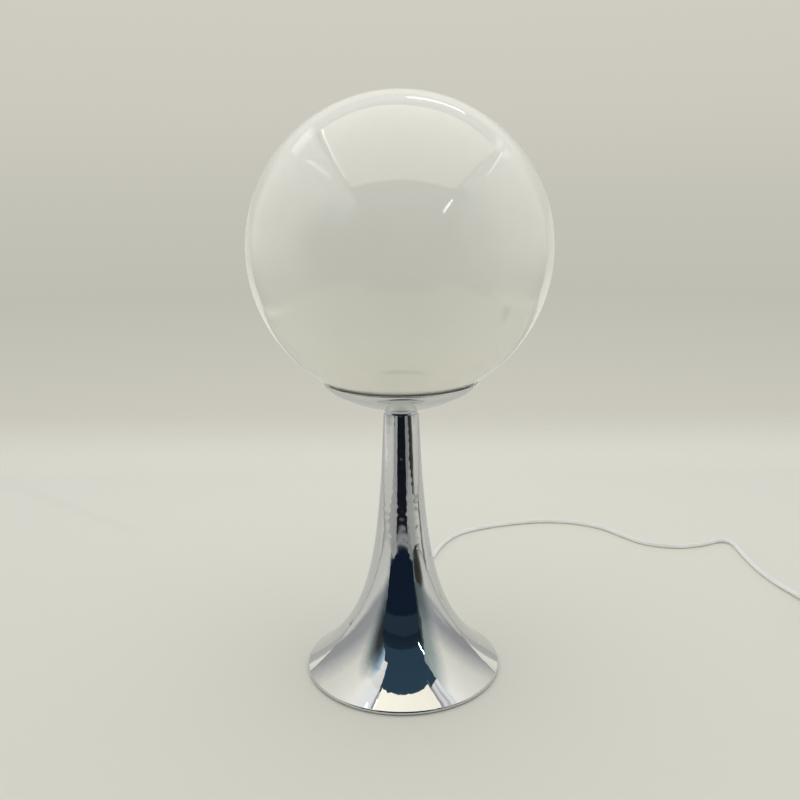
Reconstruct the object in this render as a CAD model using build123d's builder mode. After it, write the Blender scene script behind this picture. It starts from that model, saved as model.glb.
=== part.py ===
"""Glass globe table lamp: an opal glass ball in a shallow chrome dish on a chrome trumpet stem.

Millimetres, +Z up. The origin is the centre of the underside, where the felt pad meets the table.
The front of the lamp faces -Y; the mains lead leaves the foot at the back, towards +Y.
"""
from build123d import *
from math import acos, asin, cos, degrees, exp, hypot, pi, radians, sin, sqrt, tan
import os

os.makedirs("parts", exist_ok=True)

# ---------------------------------------------------------------- driving dimensions
# opal glass globe
globe_radius = 125.0
globe_wall = 2.6
globe_opening_radius = 50.0         # outer edge of the ground opening at the bottom
globe_seat_gap = 0.3                # between the ground edge and the rubber seat

# chrome dish that the globe stands in
dish_lip_radius = 66.3
dish_bowl_radius = 114.0            # radius of the spherical underside
dish_turn_radius = 58.0             # from the axis to where the edge starts to turn up
dish_edge_bend = 25.0               # radius of the turned-up edge
dish_flat_radius = 12.0             # flat in the middle, where the dish meets the stem
dish_wall = 1.5
globe_lip_gap = 2.0                 # between the glass and the inside of the lip

# trumpet stem, spun from sheet steel: a slender tube plus an exponential flare
stem_height = 240.0
stem_wall = 1.2
neck_radius = 14.7
neck_taper = 0.033                  # how much the slender tube widens per millimetre of drop
foot_radius = 86.8
flare_spread = 47.8                 # height over which the flare falls to 1/e
foot_bead_radius = 1.9              # rolled edge round the foot
foot_bead_turn = 54.0               # degrees round the bead at which the flare runs into it
shoulder_radius = 4.0               # rounded top edge of the stem
stem_top_wall = 2.5

# foot: felt pad and cast weight
pad_thickness = 2.5
pad_gap = 0.3
foot_lift = 0.5                     # height of the steel edge above the table
ballast_height = 10.0
ballast_gap = 0.4
ballast_pocket_radius = 13.0
ballast_pocket_depth = 6.0
ballast_inset = 1.0                 # how far the weight's underside stops short of the pad's edge

# threaded tube that holds the lamp together, with its nuts and washers
tube_radius = 5.0
tube_bore_radius = 4.1
tube_hole_gap = 0.2
tube_window_height = 11.0
tube_window_width = 6.6
nut_across_flats = 14.0
nut_height = 4.0
washer_radius = 11.0
washer_thickness = 1.5
nut_gap = 0.02                      # radial gap between a nut and its tube
tube_stop = 1.0                     # how far the tube's top stays below the cap's boss

# spring spider that grips the opening of the globe
spider_thickness = 0.8
spider_arm_width = 9.0
spider_arms = 3
spider_rise = 9.0                   # from the middle of the spider to the foot of a finger
spider_bend_radius = 2.0
spider_arm_start = 0.6              # flat stretch of an arm beyond the washer
spider_arm_root = 3.0               # how far an arm reaches under the washer
finger_height = 16.0                # from the foot of a finger to its tip
finger_gap = 0.35                   # between a finger and the glass
finger_bow = 2.0                    # how far a finger bows outward
finger_grip_rise = 1.0              # from the glass's edge up to the widest place of a finger

# lampholder for an E27 bulb
holder_radius = 20.5
holder_wall = 2.0
holder_cap_height = 20.0
holder_cap_boss_radius = 9.5
holder_cap_boss_height = 10.0
holder_cap_side = 5.0               # straight stretch at the cap's top
holder_cap_round = 4.2              # where the cap's round shoulder passes, in from its corner
holder_barrel_height = 34.0
holder_mouth_radius = 15.0
holder_mouth_depth = 3.0
holder_chamfer_height = 4.0
holder_chamfer_width = 1.5
holder_fit_gap = 0.1                # between the holder's shells and what sits in them
insert_radius = 17.2
insert_height = 8.0
insert_seat_depth = 2.0             # how deep the insert sits in the cap
terminal_spacing = 16.0
terminal_radius = 2.0
terminal_gap = 0.1
terminal_recess = 0.5               # how far a terminal screw stays below the insert's top
screw_shell_radius = 13.9
screw_shell_wall = 0.4
screw_shell_height = 21.0
contact_thickness = 0.5
contact_width = 5.0
contact_rise = 1.0                  # how far the tongue springs up
contact_root = 8.0                  # from the axis to the tongue's fixed end
contact_bend = 3.0                  # from the axis to where it starts to rise
contact_reach = 4.0                 # from the axis to its free end

# bulb, type A60 with an E27 cap
bulb_radius = 30.0
bulb_length = 107.0
bulb_cap_radius = 13.2
bulb_cap_height = 25.0
bulb_cap_wall = 0.4
bulb_cap_floor = 7.0                # thickness of the cap's glass-filled end
bulb_cap_step = 2.0                 # width of each step of the cap's shoulder
bulb_cap_shoulder = 6.0             # height of the shoulder
bulb_cap_shoulder_foot = 4.0        # height of its conical part
bulb_seat_depth = 6.0               # how deep the glass sits in the cap
bulb_seat_gap = 0.1
bulb_waist_radius = 16.0            # the glass's neck at the next height
bulb_waist_height = 14.0            # above the cap
bulb_waist_rise = 0.6               # how much higher the inner surface has its waist
bulb_neck_join = 0.8                # where the neck runs into the ball, as a share of its radius
bulb_wall = 1.0
bulb_tip_radius = 4.6
bulb_tip_height = 2.0
bulb_tip_round = 0.8
bulb_tip_gap = 0.3

# mains lead and its way out of the foot
cord_radius = 2.6
cord_fit_gap = 0.1
bush_radius = 5.6
bush_collar_radius = 8.0
bush_collar_end = 84.0              # distance of the collar's outer face from the lamp's axis
bush_inner_end = 53.0               # distance of the bush's inner end from the lamp's axis
bush_nut_thickness = 3.5
bush_nut_inset = 1.0                # from the bush's inner end to its nut
bush_recess_gap = 1.5               # round the bush, in the recess cast into the weight
relief_length = 28.0
relief_root_radius = 6.2
relief_tip_radius = 3.5
relief_grooves = 5
relief_groove_width = 1.6
relief_groove_depth = 0.7
relief_groove_lead = 0.6            # plain stretch before the first groove, in groove spacings
sheath_end = 32.0                   # distance of the cut sheath inside the foot from the axis
clamp_distance = 42.0
clamp_length = 26.0
clamp_width = 8.0
clamp_height = 7.5
clamp_corner_radius = 2.0
clamp_edge_radius = 1.2
clamp_bridge_overlap = 1.0          # how far the bridge over the lead runs into each side
clamp_bridge_inset = 0.3            # how far it stays inside the clamp's flanks
clamp_screw_spacing = 18.0
clamp_screw_radius = 1.6
clamp_screw_head_radius = 3.2
clamp_screw_head_height = 1.8
clamp_screw_depth = 6.0
clamp_screw_stop = 0.5              # clear space under a screw's end
lead_radius = 0.95
lead_spacing = 2.6
lead_bend_radius = 5.0
lead_end_bend_radius = 3.0
lead_fan_start = 4.0                # how far above the tube the two leads part
lead_fan_drop = 6.0                 # straight stretch below each terminal

# inline switch
switch_x = 422.5
switch_y = 56.0
switch_length = 60.0
switch_width = 26.0
switch_height = 17.0
switch_parting = 6.0                # height of the parting line, and of the lead through the case
switch_wall = 2.0
switch_end_radius = 11.0
switch_edge_radius = 2.5
switch_grip = 8.0                   # how far the lead reaches into the case
switch_pocket_depth = 5.0           # how far the rocker's frame hangs below the top wall
lead_end_gap = 0.05                 # between the ends of two stretches of lead inside the case
rocker_length = 18.0
rocker_width = 10.0
rocker_tilt = 11.0                  # degrees each side of level
rocker_gap = 0.5
rocker_depth = 5.5                  # from the pivot down to the rocker's underside
rocker_stand = 3.0                  # pivot height below the top of the case
rocker_crown = 2.4                  # how far the rocker's ends stand above the pivot
rocker_pin_radius = 1.3
rocker_pin_gap = 0.1
rocker_pin_stop = 0.2               # how far the pin stays inside its frame
rocker_shoulder = 1.0               # how far the rocker's corners stay below its crown
rocker_dish = 1.2                   # hollow across the rocker's top
rocker_draft = 0.6                  # how far its ends slope in
rocker_foot_share = 0.65            # length of its underside, as a share
rocker_round = 0.8
switch_screw_radius = 1.4
switch_screw_head_radius = 2.7
switch_screw_inset = 8.0
switch_boss_radius = 3.4
switch_boss_overlap = 0.6           # how far a boss runs into the case's wall
switch_screw_sink = 0.6             # how far a screw's head stays inside the case
switch_screw_stop = 0.5             # clear space above a screw's end
strip_thickness = 0.8               # contact strips in the case
strip_width = 5.0
strip_bend_radius = 1.0
strip_lift = 0.5                    # middle of the strip above the case's floor
strip_root_gap = 0.5                # between the strip and the solid end of the case
strip_bend = 9.0                    # from the middle of the case to where the strip rises
strip_crest = 5.0                   # from the middle of the case to where it is level again
strip_tip = 1.5                     # from the middle of the case to its free end

# spare length of the lead: a coil of two layers, held by a tie
switch_to_coil = 34.0               # from the switch to the start of the coil's first turn
coil_outer_radius = 34.5            # radius of the outermost half turn
coil_turn_gap = 0.5                 # clear space between neighbouring turns
coil_half_turns = 4                 # half turns in each layer
tie_thickness = 0.8
tie_width = 8.0
tie_gap = 0.15

# two-pin plug at the far end
coil_to_plug = 82.0                 # from the end of the coil's last turn to the tip of the tail
plug_shift = 2.5                    # how far the plug lies beside the coil's side
plug_length = 36.0
plug_width = 35.3
plug_height = 13.7
plug_face_width = 27.0
plug_root_width = 14.0
plug_edge_radius = 2.5
plug_corner_radius = 2.0
plug_root_swell = 1.5               # how much wider the grip's root gets on each side
plug_root_share = 0.22              # ends of the root, the flank and the widest part, as shares of the length
plug_flank_share = 0.55
plug_wide_share = 0.84
plug_tail_length = 22.0
plug_tail_root_radius = 5.2
plug_tail_tip_radius = 3.5
pin_radius = 2.0
pin_core_share = 0.8                # the pin's core under its sleeve, as a share of its radius
pin_tip_round = 0.9
pin_core_stop = 1.5                 # how far the core stays short of the pin's tip
pin_spacing = 18.6
pin_length = 19.0
pin_sleeve_length = 10.0
pin_sleeve_radius = 1.95
pin_seat_depth = 8.0
tail_overlap = 1.0                  # how far the tail runs into the grip

# ---------------------------------------------------------------- shapes worked out from them
foot_bead_centre = foot_radius - foot_bead_radius
foot_bead_height = foot_lift + foot_bead_radius
flare_foot_radius = foot_bead_centre + foot_bead_radius * cos(radians(foot_bead_turn))
flare_foot_height = foot_bead_height + foot_bead_radius * sin(radians(foot_bead_turn))
shoulder_height = stem_height - shoulder_radius


def slender_radius(z):
    """Radius of the slender tube that the flare is added to."""
    return neck_radius + neck_taper * (shoulder_height - z)


flare_amount = flare_foot_radius - slender_radius(flare_foot_height)


def stem_radius(z):
    """Outer radius of the trumpet at height z."""
    return slender_radius(z) + flare_amount * exp((flare_foot_height - z) / flare_spread)


def stem_slope(z):
    """Change of the outer radius per millimetre of height."""
    return -neck_taper - flare_amount / flare_spread * exp((flare_foot_height - z) / flare_spread)


def stem_inner_radius(z, gap=0.0):
    """Radius of a surface inside the trumpet's wall, a gap away from it."""
    return stem_radius(z) - (stem_wall + gap) * sqrt(1 + stem_slope(z) ** 2)


# height of the bowl's centre above its flat middle
dish_centre_rise = sqrt(dish_bowl_radius ** 2 - dish_flat_radius ** 2)
dish_inner_bowl_radius = dish_bowl_radius - dish_wall


def dish_underside(radius):
    """Height of the dish's spherical underside at a radius."""
    return stem_height + dish_centre_rise - sqrt(dish_bowl_radius ** 2 - radius ** 2)


def dish_inside(radius):
    """Height of the dish's inner surface at a radius."""
    return stem_height + dish_centre_rise - sqrt(dish_inner_bowl_radius ** 2 - radius ** 2)


# the turned-up edge, about a centre of its own; angles are slopes of the dish's wall
dish_turn_slope = asin(dish_turn_radius / dish_bowl_radius)
edge_centre_radius = dish_turn_radius - dish_edge_bend * sin(dish_turn_slope)
edge_centre_height = dish_underside(dish_turn_radius) + dish_edge_bend * cos(dish_turn_slope)
dish_lip_slope = asin((dish_lip_radius - edge_centre_radius) / dish_edge_bend)


def dish_edge(slope, depth):
    """Point of the turned-up edge at a slope, at a depth into the wall from outside."""
    bend = dish_edge_bend - depth
    return edge_centre_radius + bend * sin(slope), edge_centre_height - bend * cos(slope)


lip_middle = dish_edge(dish_lip_slope, dish_wall / 2)
dish_lip_top = lip_middle[1] + dish_wall / 2
dish_floor = stem_height + dish_wall

globe_at_lip = dish_lip_radius - dish_wall - globe_lip_gap
globe_centre = dish_lip_top + sqrt(globe_radius ** 2 - globe_at_lip ** 2)
globe_opening = globe_centre - sqrt(globe_radius ** 2 - globe_opening_radius ** 2)
globe_inner_radius = globe_radius - globe_wall
globe_throat = sqrt(globe_inner_radius ** 2 - (globe_centre - globe_opening) ** 2)

ballast_bottom = pad_thickness
ballast_top = ballast_bottom + ballast_height
cord_exit_height = ballast_top + cord_radius + cord_fit_gap
relief_tip = bush_collar_end + relief_length

spider_top = dish_floor + spider_thickness
upper_washer_top = spider_top + washer_thickness
holder_bottom = upper_washer_top + nut_height
holder_cap_top = holder_bottom + holder_cap_height
holder_top = holder_cap_top + holder_barrel_height
insert_bottom = holder_cap_top - insert_seat_depth
insert_top = insert_bottom + insert_height
tube_top = holder_bottom + holder_cap_boss_height - tube_stop
bulb_bottom = insert_top + contact_thickness + contact_rise + bulb_tip_gap
bulb_cap_bottom = bulb_bottom + bulb_tip_height
bulb_cap_top = bulb_cap_bottom + bulb_cap_height
bulb_top = bulb_bottom + bulb_length


def save(piece, label):
    """Name a finished piece and write it."""
    piece.label = label
    export_step(piece, f"parts/{label}.step")


def ring(radius, hole, bottom, height):
    """A plain round washer standing on a height."""
    with BuildPart() as washer:
        with BuildSketch(Plane.XY.offset(bottom)):
            Circle(radius)
            Circle(hole, mode=Mode.SUBTRACT)
        extrude(amount=height)
    return washer.part


def hex_nut(bottom):
    """A hexagon nut for the threaded tube."""
    with BuildPart() as nut:
        with BuildSketch(Plane.XY.offset(bottom)):
            RegularPolygon(nut_across_flats / 2, 6, major_radius=False)
            Circle(tube_radius + nut_gap, mode=Mode.SUBTRACT)
        extrude(amount=nut_height)
    return nut.part


# ---------------------------------------------------------------- trumpet stem
bead_close_turn = foot_bead_turn + degrees(acos((foot_bead_radius - stem_wall) / foot_bead_radius))
wall_foot_radius = foot_bead_centre + foot_bead_radius * cos(radians(bead_close_turn))
wall_foot_height = foot_bead_height + foot_bead_radius * sin(radians(bead_close_turn))
flare_stations = 11
top_plate_height = stem_height - stem_top_wall


def flare_points(low, high, radius_at):
    """Points down a trumpet wall, closer together where it curves most."""
    points = []
    for station in range(flare_stations):
        share = (station / (flare_stations - 1)) ** 1.6
        height = low + (high - low) * share
        points.append((radius_at(height), height))
    return points


with BuildPart() as trumpet_stem:
    with BuildSketch(Plane.XZ):
        with BuildLine():
            outer_points = flare_points(flare_foot_height, shoulder_height, stem_radius)
            outer_points[0] = (flare_foot_radius, flare_foot_height)
            inner_points = flare_points(wall_foot_height, top_plate_height, stem_inner_radius)
            inner_points[0] = (wall_foot_radius, wall_foot_height)
            shoulder = stem_radius(shoulder_height)
            Spline(*outer_points)
            RadiusArc((shoulder, shoulder_height), (shoulder - shoulder_radius, stem_height),
                      -shoulder_radius)
            Polyline((shoulder - shoulder_radius, stem_height),
                     (tube_radius + tube_hole_gap, stem_height),
                     (tube_radius + tube_hole_gap, top_plate_height),
                     inner_points[-1])
            Spline(*inner_points)
            ThreePointArc(inner_points[0], (foot_bead_centre, foot_lift), outer_points[0])
        make_face()
    revolve(axis=Axis.Z)
    with BuildSketch(Plane.XZ.offset(-foot_radius)):
        with Locations((0, cord_exit_height)):
            Circle(bush_radius + cord_fit_gap)
    extrude(amount=foot_radius - sheath_end, mode=Mode.SUBTRACT)
save(trumpet_stem.part, "trumpet_stem")

# ---------------------------------------------------------------- foot: felt pad, cast weight, nut
pad_radius = foot_bead_centre - foot_bead_radius - pad_gap
with BuildPart() as felt_pad:
    with BuildSketch():
        Circle(pad_radius)
    extrude(amount=pad_thickness)
save(felt_pad.part, "felt_pad")

with BuildPart() as ballast:
    with BuildSketch(Plane.XZ):
        with BuildLine():
            side = []
            for share in (0, 0.33, 0.66, 1):
                height = wall_foot_height + (ballast_top - wall_foot_height) * share
                side.append((stem_inner_radius(height, ballast_gap), height))
            Spline(*side)
            Polyline(side[-1], (tube_radius + tube_hole_gap, ballast_top),
                     (tube_radius + tube_hole_gap, ballast_bottom), (pad_radius - ballast_inset, ballast_bottom),
                     side[0])
        make_face()
    revolve(axis=Axis.Z)
    with BuildSketch(Plane.XY.offset(ballast_bottom)):
        Circle(ballast_pocket_radius)
    extrude(amount=ballast_pocket_depth, mode=Mode.SUBTRACT)
    with BuildSketch(Plane.XY.offset(ballast_top)):
        with Locations((0, clamp_distance)):
            with GridLocations(clamp_screw_spacing, 0, 2, 1):
                Circle(clamp_screw_radius + nut_gap)
    extrude(amount=-clamp_screw_depth, mode=Mode.SUBTRACT)
    recess_bottom = cord_exit_height - bush_collar_radius - ballast_gap
    with BuildSketch(Plane.XY.offset(recess_bottom)):
        with Locations((0, bush_inner_end - bush_recess_gap)):
            Rectangle(2 * (bush_collar_radius + bush_recess_gap), foot_radius,
                      align=(Align.CENTER, Align.MIN))
    extrude(amount=ballast_height, mode=Mode.SUBTRACT)
save(ballast.part, "ballast")

lower_washer_bottom = ballast_bottom + ballast_pocket_depth - washer_thickness
lower_nut_bottom = lower_washer_bottom - nut_height
save(ring(washer_radius, tube_radius + tube_hole_gap, lower_washer_bottom, washer_thickness),
     "lower_washer")
save(hex_nut(lower_nut_bottom), "lower_nut")

# ---------------------------------------------------------------- threaded tube
with BuildPart() as threaded_tube:
    with BuildSketch(Plane.XY.offset(lower_nut_bottom)):
        Circle(tube_radius)
        Circle(tube_bore_radius, mode=Mode.SUBTRACT)
    extrude(amount=tube_top - lower_nut_bottom)
    with BuildSketch(Plane.XZ.offset(-tube_radius * 2)):
        with Locations((0, cord_exit_height + lead_bend_radius / 2)):
            SlotCenterToCenter(tube_window_height - tube_window_width, tube_window_width,
                               rotation=90)
    extrude(amount=tube_radius * 2, mode=Mode.SUBTRACT)
save(threaded_tube.part, "threaded_tube")

# ---------------------------------------------------------------- dish
with BuildPart() as dish:
    with BuildSketch(Plane.XZ):
        middle = (dish_flat_radius + dish_turn_radius) / 2
        middle_slope = (dish_turn_slope + dish_lip_slope) / 2
        lip_tip = (lip_middle[0] + dish_wall / 2 * cos(dish_lip_slope),
                   lip_middle[1] + dish_wall / 2 * sin(dish_lip_slope))
        with BuildLine():
            inner_flat = sqrt(dish_inner_bowl_radius ** 2 - (dish_centre_rise - dish_wall) ** 2)
            ThreePointArc((dish_flat_radius, stem_height), (middle, dish_underside(middle)),
                          dish_edge(dish_turn_slope, 0))
            ThreePointArc(dish_edge(dish_turn_slope, 0), dish_edge(middle_slope, 0),
                          dish_edge(dish_lip_slope, 0))
            ThreePointArc(dish_edge(dish_lip_slope, 0), lip_tip, dish_edge(dish_lip_slope, dish_wall))
            ThreePointArc(dish_edge(dish_lip_slope, dish_wall), dish_edge(middle_slope, dish_wall),
                          dish_edge(dish_turn_slope, dish_wall))
            ThreePointArc(dish_edge(dish_turn_slope, dish_wall), (middle, dish_inside(middle)),
                          (inner_flat, dish_floor))
            Polyline((inner_flat, dish_floor), (tube_radius + tube_hole_gap, dish_floor),
                     (tube_radius + tube_hole_gap, stem_height), (dish_flat_radius, stem_height))
        make_face()
    revolve(axis=Axis.Z)
save(dish.part, "dish")

# ---------------------------------------------------------------- rubber seat for the globe
gasket_outer = globe_opening_radius + 1.5
gasket_inner = globe_throat + 0.8
gasket_top = globe_opening - globe_seat_gap
gasket_lift = 0.1
with BuildPart() as globe_gasket:
    with BuildSketch(Plane.XZ):
        gasket_middle = (gasket_outer + gasket_inner) / 2
        with BuildLine():
            ThreePointArc((gasket_inner, dish_inside(gasket_inner) + gasket_lift),
                          (gasket_middle, dish_inside(gasket_middle) + gasket_lift),
                          (gasket_outer, dish_inside(gasket_outer) + gasket_lift))
            Polyline((gasket_outer, dish_inside(gasket_outer) + gasket_lift),
                     (gasket_outer, gasket_top), (gasket_inner, gasket_top),
                     (gasket_inner, dish_inside(gasket_inner) + gasket_lift))
        make_face()
    revolve(axis=Axis.Z)
save(globe_gasket.part, "globe_gasket")

# ---------------------------------------------------------------- opal glass globe
with BuildPart() as globe:
    with BuildSketch(Plane.XZ):
        with BuildLine():
            ThreePointArc((globe_opening_radius, globe_opening), (globe_radius, globe_centre),
                          (0, globe_centre + globe_radius))
            Line((0, globe_centre + globe_radius), (0, globe_centre + globe_inner_radius))
            ThreePointArc((0, globe_centre + globe_inner_radius),
                          (globe_inner_radius, globe_centre), (globe_throat, globe_opening))
            Line((globe_throat, globe_opening), (globe_opening_radius, globe_opening))
        make_face()
    revolve(axis=Axis.Z)
save(globe.part, "globe")

# ---------------------------------------------------------------- spring spider
finger_radius = globe_throat - finger_gap - spider_thickness / 2
finger_foot = finger_radius - finger_bow
finger_base = spider_top + spider_rise
with BuildPart() as spring_spider:
    with BuildSketch(Plane.XY.offset(dish_floor)):
        Circle(washer_radius)
        Circle(tube_radius + tube_hole_gap, mode=Mode.SUBTRACT)
    extrude(amount=spider_thickness)
    for arm in range(spider_arms):
        arm_plane = Plane.XZ.rotated((0, 0, 90 + 360 * arm / spider_arms))
        with BuildSketch(arm_plane):
            with BuildLine():
                half = spider_thickness / 2
                FilletPolyline((washer_radius - spider_arm_root, dish_floor + half),
                               (washer_radius + spider_arm_start, dish_floor + half),
                               (finger_foot, finger_base - spider_thickness),
                               (finger_radius, globe_opening + finger_grip_rise),
                               (finger_radius - 2 * finger_bow, finger_base + finger_height),
                               radius=spider_bend_radius)
            trace(line_width=spider_thickness)
        extrude(amount=spider_arm_width / 2, both=True)
save(spring_spider.part, "spring_spider")

save(ring(washer_radius, tube_radius + tube_hole_gap, spider_top, washer_thickness), "upper_washer")
save(hex_nut(upper_washer_top), "upper_nut")

# ---------------------------------------------------------------- lampholder
with BuildPart() as lampholder_cap:
    with BuildSketch(Plane.XZ):
        with BuildLine():
            Polyline((holder_radius, holder_cap_top), (holder_radius, holder_cap_top - holder_cap_side))
            ThreePointArc((holder_radius, holder_cap_top - holder_cap_side),
                          (holder_radius - holder_cap_round, holder_bottom + holder_cap_round),
                          (holder_cap_boss_radius, holder_bottom))
            Polyline((holder_cap_boss_radius, holder_bottom), (tube_radius + nut_gap, holder_bottom),
                     (tube_radius + nut_gap, holder_bottom + holder_cap_boss_height),
                     (holder_cap_boss_radius, holder_bottom + holder_cap_boss_height),
                     (holder_radius - holder_wall - 1, insert_bottom),
                     (insert_radius + holder_fit_gap, insert_bottom),
                     (insert_radius + holder_fit_gap, holder_cap_top),
                     (holder_radius, holder_cap_top))
        make_face()
    revolve(axis=Axis.Z)
save(lampholder_cap.part, "lampholder_cap")

with BuildPart() as lampholder_insert:
    with BuildSketch(Plane.XY.offset(insert_bottom)):
        Circle(insert_radius)
        with GridLocations(terminal_spacing, 0, 2, 1):
            Circle(terminal_radius + terminal_gap, mode=Mode.SUBTRACT)
    extrude(amount=insert_height)
save(lampholder_insert.part, "lampholder_insert")

with BuildPart() as terminal_screws:
    with BuildSketch(Plane.XY.offset(insert_bottom)):
        with GridLocations(terminal_spacing, 0, 2, 1):
            Circle(terminal_radius)
    extrude(amount=insert_height - terminal_recess)
save(terminal_screws.part, "terminal_screws")

with BuildPart() as screw_shell:
    with BuildSketch(Plane.XY.offset(insert_top)):
        Circle(screw_shell_radius + screw_shell_wall)
        Circle(screw_shell_radius, mode=Mode.SUBTRACT)
    extrude(amount=screw_shell_height)
save(screw_shell.part, "screw_shell")

with BuildPart() as lampholder_barrel:
    with BuildSketch(Plane.XZ):
        with BuildLine():
            shell_outer = screw_shell_radius + screw_shell_wall + holder_fit_gap
            Polyline((holder_radius, holder_cap_top), (holder_radius, holder_top - holder_chamfer_height),
                     (holder_radius - holder_chamfer_width, holder_top), (holder_mouth_radius, holder_top),
                     (holder_mouth_radius, holder_top - holder_mouth_depth),
                     (shell_outer, holder_top - holder_mouth_depth),
                     (shell_outer, insert_top),
                     (insert_radius + holder_fit_gap, insert_top),
                     (insert_radius + holder_fit_gap, holder_cap_top),
                     (holder_radius, holder_cap_top))
        make_face()
    revolve(axis=Axis.Z)
save(lampholder_barrel.part, "lampholder_barrel")

with BuildPart() as centre_contact:
    with BuildSketch(Plane.XZ):
        with BuildLine():
            contact_low = insert_top + contact_thickness / 2
            contact_high = contact_low + contact_rise
            FilletPolyline((-contact_root, contact_low), (-contact_bend, contact_low), (0, contact_high),
                           (contact_reach, contact_high), radius=contact_rise)
        trace(line_width=contact_thickness)
    extrude(amount=contact_width / 2, both=True)
save(centre_contact.part, "centre_contact")

# ---------------------------------------------------------------- bulb
with BuildPart() as bulb_tip:
    with BuildSketch(Plane.XY.offset(bulb_bottom)):
        Circle(bulb_tip_radius)
    extrude(amount=bulb_tip_height)
    fillet(bulb_tip.faces().sort_by(Axis.Z)[0].edges(), bulb_tip_round)
save(bulb_tip.part, "bulb_contact")

with BuildPart() as bulb_cap:
    with BuildSketch(Plane.XZ):
        with BuildLine():
            cap_inner = bulb_cap_radius - bulb_cap_wall
            cap_floor = bulb_cap_bottom + bulb_cap_floor
            Polyline((0, bulb_cap_bottom), (bulb_tip_radius + bulb_cap_step, bulb_cap_bottom),
                     (bulb_cap_radius - bulb_cap_step, bulb_cap_bottom + bulb_cap_shoulder_foot),
                     (bulb_cap_radius, bulb_cap_bottom + bulb_cap_shoulder),
                     (bulb_cap_radius, bulb_cap_top), (cap_inner, bulb_cap_top),
                     (cap_inner, cap_floor), (0, cap_floor), (0, bulb_cap_bottom))
        make_face()
    revolve(axis=Axis.Z)
save(bulb_cap.part, "bulb_cap")

bulb_centre = bulb_top - bulb_radius
bulb_seat = bulb_cap_top - bulb_seat_depth
bulb_seat_radius = bulb_cap_radius - bulb_cap_wall - bulb_seat_gap
with BuildPart() as bulb_glass:
    with BuildSketch(Plane.XZ):
        with BuildLine():
            inner_ball = bulb_radius - bulb_wall
            neck_drop = sqrt(1 - bulb_neck_join ** 2)
            outer_join = (bulb_radius * bulb_neck_join, bulb_centre - bulb_radius * neck_drop)
            inner_join = (inner_ball * bulb_neck_join, bulb_centre - inner_ball * neck_drop)
            join_tangent = (neck_drop, bulb_neck_join)
            waist = bulb_cap_top + bulb_waist_height
            Line((bulb_seat_radius, bulb_seat), (bulb_seat_radius, bulb_cap_top))
            Spline((bulb_seat_radius, bulb_cap_top), (bulb_waist_radius, waist), outer_join,
                   tangents=((0.05, 1), join_tangent))
            ThreePointArc(outer_join, (bulb_radius, bulb_centre), (0, bulb_top))
            Line((0, bulb_top), (0, bulb_top - bulb_wall))
            ThreePointArc((0, bulb_top - bulb_wall), (inner_ball, bulb_centre), inner_join)
            Spline(inner_join, (bulb_waist_radius - bulb_wall, waist + bulb_waist_rise),
                   (bulb_seat_radius - bulb_wall, bulb_cap_top),
                   tangents=((-neck_drop, -bulb_neck_join), (-0.05, -1)))
            Polyline((bulb_seat_radius - bulb_wall, bulb_cap_top),
                     (bulb_seat_radius - bulb_wall, bulb_seat), (bulb_seat_radius, bulb_seat))
        make_face()
    revolve(axis=Axis.Z)
save(bulb_glass.part, "bulb_glass")

# ---------------------------------------------------------------- way out of the foot for the lead
# the trumpet's outer form as a plug, to shape what seats against the wall
with BuildPart() as flare_plug:
    with BuildSketch(Plane.XZ):
        with BuildLine():
            plug_points = flare_points(flare_foot_height, shoulder_height, stem_radius)
            Spline(*plug_points)
            Polyline(plug_points[-1], (0, shoulder_height), (0, flare_foot_height), plug_points[0])
        make_face()
    revolve(axis=Axis.Z)
with BuildPart() as flare_core:
    with BuildSketch(Plane.XZ):
        with BuildLine():
            core_points = flare_points(flare_foot_height, shoulder_height, stem_inner_radius)
            Spline(*core_points)
            Polyline(core_points[-1], (0, shoulder_height), (0, flare_foot_height), core_points[0])
        make_face()
    revolve(axis=Axis.Z)

back = Plane.XZ.rotated((0, 0, 180))            # its normal points to +Y, away from the lamp


def exit_circle(distance, radius):
    """A circle round the lead's axis, on an upright plane behind the lamp's axis."""
    with BuildSketch(back.offset(distance)) as circle:
        with Locations((0, cord_exit_height)):
            Circle(radius)
    return circle.sketch


cord_hole = cord_radius + cord_fit_gap
with BuildPart() as cord_bush:
    extrude(exit_circle(bush_inner_end, bush_collar_radius), amount=bush_collar_end - bush_inner_end)
    add(flare_plug.part, mode=Mode.SUBTRACT)
    extrude(exit_circle(bush_inner_end, bush_radius), amount=bush_collar_end - bush_inner_end)
    extrude(exit_circle(bush_inner_end, cord_hole), amount=bush_collar_end - bush_inner_end,
            mode=Mode.SUBTRACT)
save(cord_bush.part, "cord_bush")

with BuildPart() as bush_nut:
    with BuildSketch(back.offset(bush_inner_end + bush_nut_inset)):
        with Locations((0, cord_exit_height)):
            Circle(bush_collar_radius)
            Circle(bush_radius + nut_gap, mode=Mode.SUBTRACT)
    extrude(amount=bush_nut_thickness)
    add(flare_core.part, mode=Mode.INTERSECT)
save(bush_nut.part, "bush_nut")


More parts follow.
